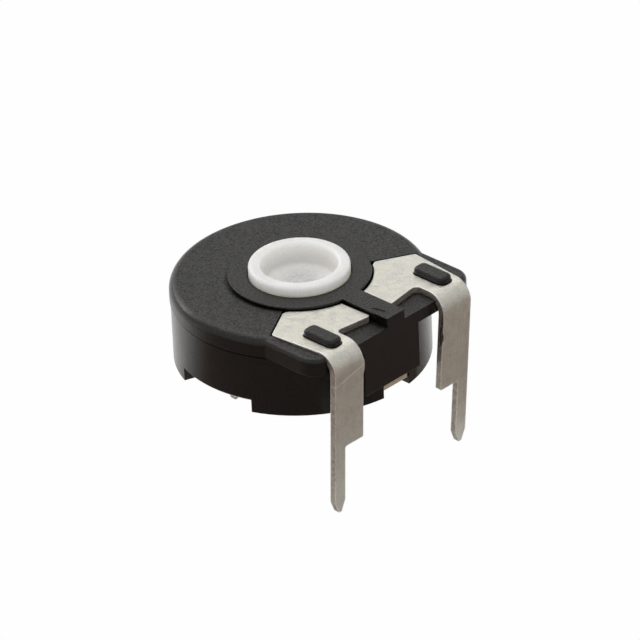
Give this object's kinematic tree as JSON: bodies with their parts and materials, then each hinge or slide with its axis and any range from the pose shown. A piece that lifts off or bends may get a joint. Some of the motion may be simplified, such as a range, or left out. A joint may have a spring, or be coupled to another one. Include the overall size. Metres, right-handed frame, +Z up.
{
  "type": "trimmer potentiometer",
  "caption": "Round flat trimmer potentiometer: black cup housing, white rotor with a blind recess, and bent sheet-metal solder terminals.",
  "frame": {"origin": "on the rotor's axis, in the plane of the terminals' shoulders, which is the circuit board's face", "axes": "+Z up along the rotor's axis, away from the circuit board; the end terminals are on the -Y side, side by side along X"},
  "size_m": [0.0148, 0.0154, 0.0113],
  "materials": {
    "housing": "black moulded thermoplastic, satin",
    "rotor": "milky white moulded plastic",
    "wiper": "thin spring sheet",
    "resistor_board": "tan paper laminate",
    "resistor_track": "printed carbon layer",
    "track_end_pads": "printed conductive layer",
    "terminals": "tinned sheet metal"
  },
  "bodies": {
    "stator": {"housing": "housing", "resistor_board": "resistor_board", "resistor_track": "resistor_track", "track_end_pads": "track_end_pads", "left_terminal": "terminals", "right_terminal": "terminals", "collector_terminal": "terminals"},
    "rotor": {"rotor": "rotor", "wiper": "wiper"}
  },
  "joints": [
    {"name": "rotor_turn", "type": "hinge", "parent": "stator", "child": "rotor", "pos_m": [0, 0, 0.004], "axis": [0, 0, 1], "range_deg": [-132, 132]}
  ]
}
